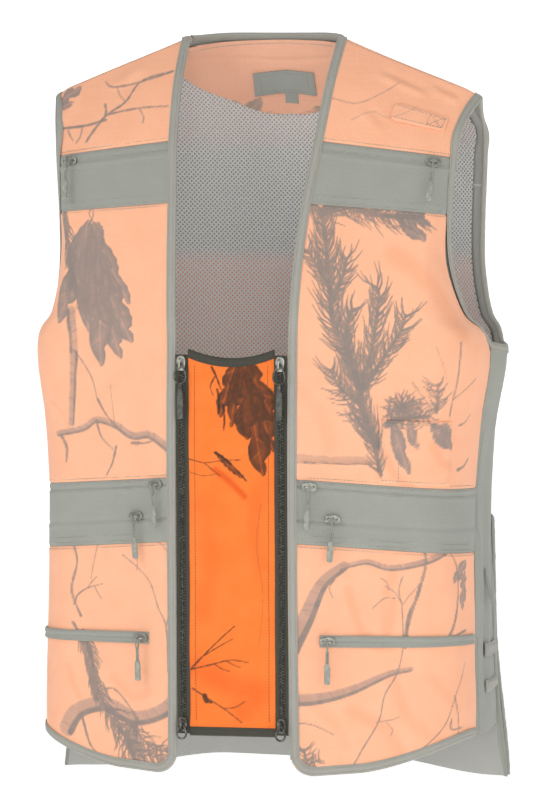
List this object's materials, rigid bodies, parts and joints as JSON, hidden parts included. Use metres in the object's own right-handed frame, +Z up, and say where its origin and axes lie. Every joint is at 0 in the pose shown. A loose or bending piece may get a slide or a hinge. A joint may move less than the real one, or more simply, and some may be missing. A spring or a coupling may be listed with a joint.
{
  "type": "hunting vest",
  "caption": "Sleeveless open-front field vest with zipped pockets, bound edges and a removable zip-in front panel that widens it.",
  "frame": {"origin": "midway between the two shoulders, at the height of the neck points, where a hanger or a wearer's shoulders carry the vest", "axes": "+Z up along the body, -Y out of the front, +X towards the wearer's left"},
  "size_m": [0.4802, 0.2746, 0.7341],
  "materials": {
    "printed_cloth": "matte brushed polyester shell, blaze orange ground under a pale wash, twig and leaf print",
    "insert_cloth": "matte brushed polyester shell, full blaze orange, twig and leaf print",
    "olive_cloth": "matte plain-weave band cloth, grey olive",
    "binding": "folded edge binding, grey olive, twin needle stitched",
    "dark_trim": "ribbed edge binding, dark olive",
    "mesh": "knitted hole mesh lining, grey",
    "label": "woven label, plain",
    "zip_tape": "woven zip tape with moulded teeth, dark olive",
    "slider_metal": "die-cast zinc slider, satin",
    "pull_plastic": "cord and moulded grip, dark olive"
  },
  "bodies": {
    "shell": {"front_binding_left": "binding", "armhole_binding_left": "binding", "front_binding_right": "binding", "armhole_binding_right": "binding", "neck_binding": "binding", "yoke_left": "printed_cloth", "yoke_right": "printed_cloth", "chest_band_left": "olive_cloth", "chest_band_right": "olive_cloth", "chest_panel_left": "printed_cloth", "chest_panel_right": "printed_cloth", "waist_band_left": "olive_cloth", "waist_band_right": "olive_cloth", "lower_pocket_left": "printed_cloth", "lower_pocket_right": "printed_cloth", "side_panel_left": "olive_cloth", "side_panel_right": "olive_cloth", "back_yoke": "printed_cloth", "back_panel": "printed_cloth", "neck_facing": "printed_cloth", "mesh_lining": "mesh", "game_bag": "olive_cloth", "front_zip_vest_side_left": "zip_tape", "front_zip_vest_side_right": "zip_tape", "pocket_zip_left": "zip_tape", "pocket_zip_right": "zip_tape", "shoulder_tab": "printed_cloth", "pen_pocket": "printed_cloth", "neck_label": "label"},
    "insert": {"insert_panel": "insert_cloth", "insert_top_binding": "dark_trim", "insert_bottom_binding": "dark_trim", "front_zip_insert_side_left": "zip_tape", "front_zip_insert_side_right": "zip_tape"},
    "front_top_left_slider": {"front_top_left_slider": "slider_metal"},
    "front_top_left_pull": {"front_top_left_pull": "pull_plastic"},
    "front_bottom_left_slider": {"front_bottom_left_slider": "slider_metal"},
    "front_bottom_left_pull": {"front_bottom_left_pull": "pull_plastic"},
    "front_top_right_slider": {"front_top_right_slider": "slider_metal"},
    "front_top_right_pull": {"front_top_right_pull": "pull_plastic"},
    "front_bottom_right_slider": {"front_bottom_right_slider": "slider_metal"},
    "front_bottom_right_pull": {"front_bottom_right_pull": "pull_plastic"},
    "chest_left_slider": {"chest_left_slider": "slider_metal"},
    "chest_left_pull": {"chest_left_pull": "pull_plastic"},
    "waist_upper_left_slider": {"waist_upper_left_slider": "slider_metal"},
    "waist_upper_left_pull": {"waist_upper_left_pull": "pull_plastic"},
    "waist_lower_left_slider": {"waist_lower_left_slider": "slider_metal"},
    "waist_lower_left_pull": {"waist_lower_left_pull": "pull_plastic"},
    "pocket_left_slider": {"pocket_left_slider": "slider_metal"},
    "pocket_left_pull": {"pocket_left_pull": "pull_plastic"},
    "chest_right_slider": {"chest_right_slider": "slider_metal"},
    "chest_right_pull": {"chest_right_pull": "pull_plastic"},
    "waist_upper_right_slider": {"waist_upper_right_slider": "slider_metal"},
    "waist_upper_right_pull": {"waist_upper_right_pull": "pull_plastic"},
    "waist_lower_right_slider": {"waist_lower_right_slider": "slider_metal"},
    "waist_lower_right_pull": {"waist_lower_right_pull": "pull_plastic"},
    "pocket_right_slider": {"pocket_right_slider": "slider_metal"},
    "pocket_right_pull": {"pocket_right_pull": "pull_plastic"}
  },
  "joints": [
    {"name": "insert_release", "type": "slide", "parent": "shell", "child": "insert", "axis": [0, -1, 0], "range_m": [0, 0.12]},
    {"name": "front_top_left_slide", "type": "slide", "parent": "insert", "child": "front_top_left_slider", "axis": [0, -0.0146, 0.9999], "range_m": [-0.27, 0]},
    {"name": "front_top_left_pull_swing", "type": "hinge", "parent": "front_top_left_slider", "child": "front_top_left_pull", "pos_m": [0.0513, -0.14138, -0.32459], "axis": [-1, 0, 0], "range_deg": [0, 140]},
    {"name": "front_bottom_left_slide", "type": "slide", "parent": "insert", "child": "front_bottom_left_slider", "axis": [0, -0.0146, 0.9999], "range_m": [0, 0.27]},
    {"name": "front_bottom_left_pull_swing", "type": "hinge", "parent": "front_bottom_left_slider", "child": "front_bottom_left_pull", "pos_m": [0.0513, -0.13614, -0.68359], "axis": [-1, 0, 0], "range_deg": [0, 140]},
    {"name": "front_top_right_slide", "type": "slide", "parent": "insert", "child": "front_top_right_slider", "axis": [0, -0.0146, 0.9999], "range_m": [-0.27, 0]},
    {"name": "front_top_right_pull_swing", "type": "hinge", "parent": "front_top_right_slider", "child": "front_top_right_pull", "pos_m": [-0.0513, -0.14138, -0.32459], "axis": [-1, 0, 0], "range_deg": [0, 140]},
    {"name": "front_bottom_right_slide", "type": "slide", "parent": "insert", "child": "front_bottom_right_slider", "axis": [0, -0.0146, 0.9999], "range_m": [0, 0.27]},
    {"name": "front_bottom_right_pull_swing", "type": "hinge", "parent": "front_bottom_right_slider", "child": "front_bottom_right_pull", "pos_m": [-0.0513, -0.13614, -0.68359], "axis": [-1, 0, 0], "range_deg": [0, 140]},
    {"name": "chest_left_slide", "type": "slide", "parent": "shell", "child": "chest_left_slider", "axis": [-0.9735, -0.2037, 0.1039], "range_m": [0, 0.095]},
    {"name": "chest_left_pull_swing", "type": "hinge", "parent": "chest_left_slider", "child": "chest_left_pull", "pos_m": [0.19107, -0.07525, -0.12351], "axis": [-0.9735, -0.2037, 0.1039], "range_deg": [0, 150]},
    {"name": "waist_upper_left_slide", "type": "slide", "parent": "shell", "child": "waist_upper_left_slider", "axis": [0.9607, 0.269, -0.0689], "range_m": [0, 0.012]},
    {"name": "waist_upper_left_pull_swing", "type": "hinge", "parent": "waist_upper_left_slider", "child": "waist_upper_left_pull", "pos_m": [0.08163, -0.13851, -0.4459], "axis": [-0.9607, -0.269, 0.0689], "range_deg": [0, 150]},
    {"name": "waist_lower_left_slide", "type": "slide", "parent": "shell", "child": "waist_lower_left_slider", "axis": [0.9603, 0.2689, -0.0737], "range_m": [0, 0.075]},
    {"name": "waist_lower_left_pull_swing", "type": "hinge", "parent": "waist_lower_left_slider", "child": "waist_lower_left_pull", "pos_m": [0.10384, -0.13191, -0.47797], "axis": [-0.9603, -0.2689, 0.0737], "range_deg": [0, 150]},
    {"name": "pocket_left_slide", "type": "slide", "parent": "shell", "child": "pocket_left_slider", "axis": [0.9629, 0.2696, -0.0079], "range_m": [0, 0.08]},
    {"name": "pocket_left_pull_swing", "type": "hinge", "parent": "pocket_left_slider", "child": "pocket_left_pull", "pos_m": [0.09887, -0.1329, -0.59927], "axis": [-0.9629, -0.2696, 0.0079], "range_deg": [0, 150]},
    {"name": "chest_right_slide", "type": "slide", "parent": "shell", "child": "chest_right_slider", "axis": [0.9735, -0.2037, 0.1039], "range_m": [0, 0.095]},
    {"name": "chest_right_pull_swing", "type": "hinge", "parent": "chest_right_slider", "child": "chest_right_pull", "pos_m": [-0.19107, -0.07525, -0.12351], "axis": [-0.9735, 0.2037, -0.1039], "range_deg": [0, 150]},
    {"name": "waist_upper_right_slide", "type": "slide", "parent": "shell", "child": "waist_upper_right_slider", "axis": [-0.9607, 0.269, -0.0689], "range_m": [0, 0.012]},
    {"name": "waist_upper_right_pull_swing", "type": "hinge", "parent": "waist_upper_right_slider", "child": "waist_upper_right_pull", "pos_m": [-0.08163, -0.13851, -0.4459], "axis": [-0.9607, 0.269, -0.0689], "range_deg": [0, 150]},
    {"name": "waist_lower_right_slide", "type": "slide", "parent": "shell", "child": "waist_lower_right_slider", "axis": [-0.9603, 0.2689, -0.0737], "range_m": [0, 0.075]},
    {"name": "waist_lower_right_pull_swing", "type": "hinge", "parent": "waist_lower_right_slider", "child": "waist_lower_right_pull", "pos_m": [-0.10384, -0.13191, -0.47797], "axis": [-0.9603, 0.2689, -0.0737], "range_deg": [0, 150]},
    {"name": "pocket_right_slide", "type": "slide", "parent": "shell", "child": "pocket_right_slider", "axis": [-0.9629, 0.2696, -0.0079], "range_m": [0, 0.08]},
    {"name": "pocket_right_pull_swing", "type": "hinge", "parent": "pocket_right_slider", "child": "pocket_right_pull", "pos_m": [-0.09887, -0.1329, -0.59927], "axis": [-0.9629, 0.2696, -0.0079], "range_deg": [0, 150]}
  ]
}
